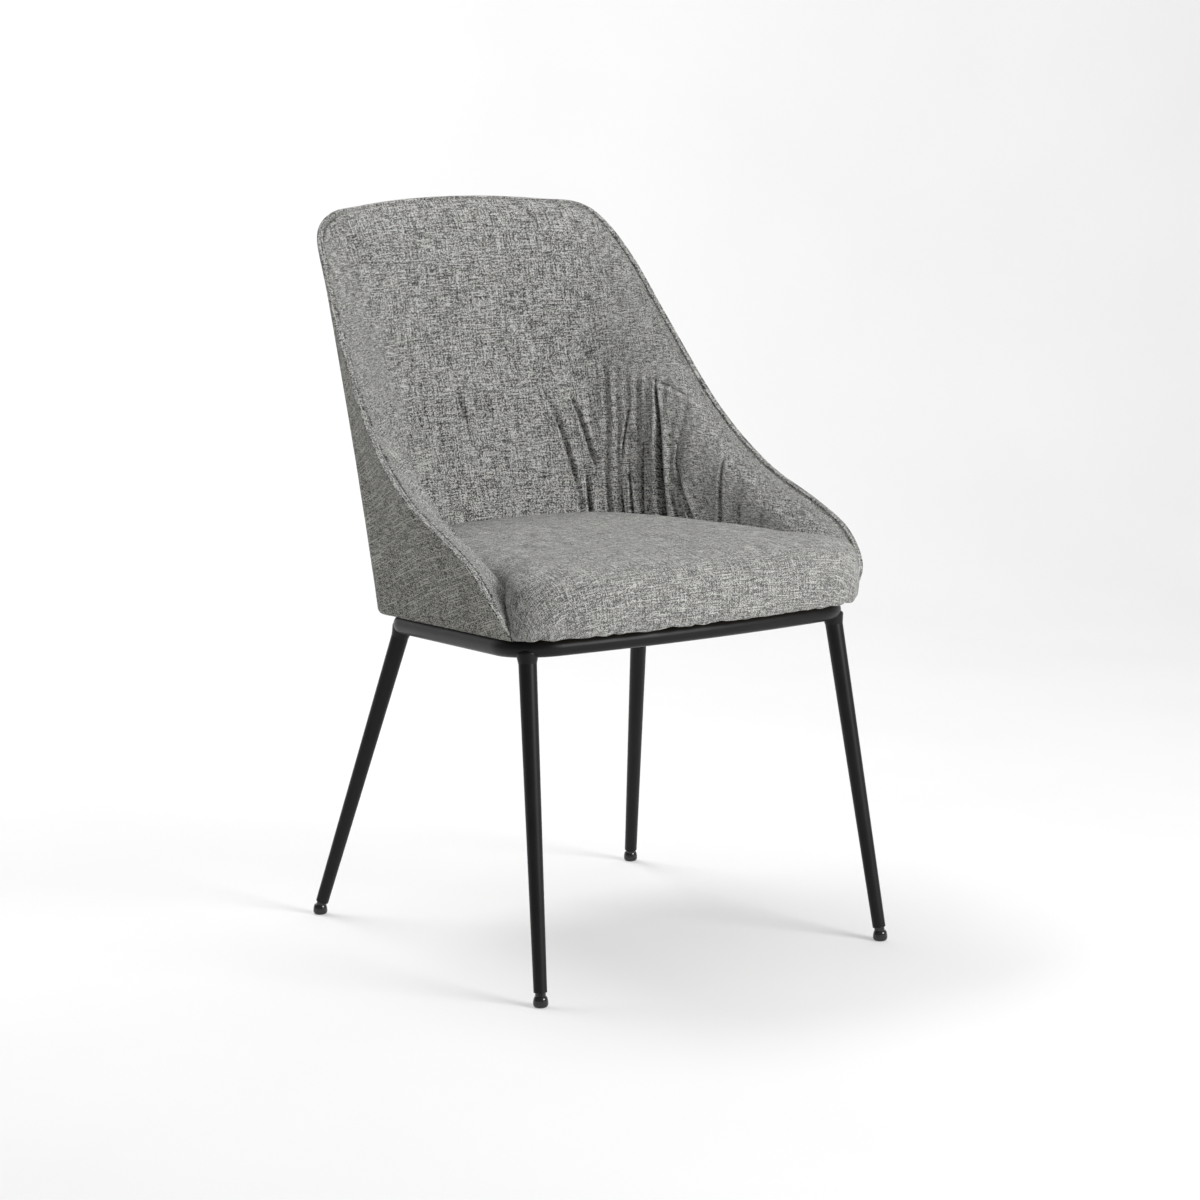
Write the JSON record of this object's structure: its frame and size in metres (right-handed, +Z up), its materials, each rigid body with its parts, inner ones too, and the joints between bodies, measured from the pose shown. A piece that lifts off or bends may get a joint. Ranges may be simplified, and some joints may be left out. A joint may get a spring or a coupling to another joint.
{
  "type": "dining chair",
  "caption": "Upholstered bucket dining chair with a gathered fabric back, swept wings, a loose-look seat cushion, piped rim and tapered black steel legs on a ring frame.",
  "frame": {"origin": "on the floor, under the middle of the chair's overall width and depth", "axes": "+Z up, the chair faces -Y, +X to the right as seen from in front of the chair; left and right in the node names are as seen from in front"},
  "size_m": [0.5498, 0.58, 0.878],
  "materials": {
    "black_steel": "satin black powder coat",
    "glide_plastic": "gloss black moulded plastic",
    "zinc_steel": "zinc plated",
    "plywood": "bare plywood",
    "foam": "cut polyurethane foam",
    "grey_fabric": "grey melange linen-look weave",
    "black_cloth": "black non-woven cambric"
  },
  "bodies": {
    "root": {"base_ring": "black_steel", "leg_front_left": "black_steel", "leg_front_right": "black_steel", "leg_rear_left": "black_steel", "leg_rear_right": "black_steel", "glide_front_left": "glide_plastic", "glide_front_right": "glide_plastic", "glide_rear_left": "glide_plastic", "glide_rear_right": "glide_plastic", "crossbar_front": "black_steel", "crossbar_rear": "black_steel", "mount_bolts": "zinc_steel", "washers": "zinc_steel", "tee_nuts": "zinc_steel", "seat_board": "plywood", "seat_foam": "foam", "seat_cover": "grey_fabric", "dust_cover": "black_cloth", "staples": "zinc_steel", "back_shell": "plywood", "shell_screws": "zinc_steel", "back_pad": "foam", "inner_cover": "grey_fabric", "outer_cover": "grey_fabric", "piping": "grey_fabric"}
  },
  "joints": []
}
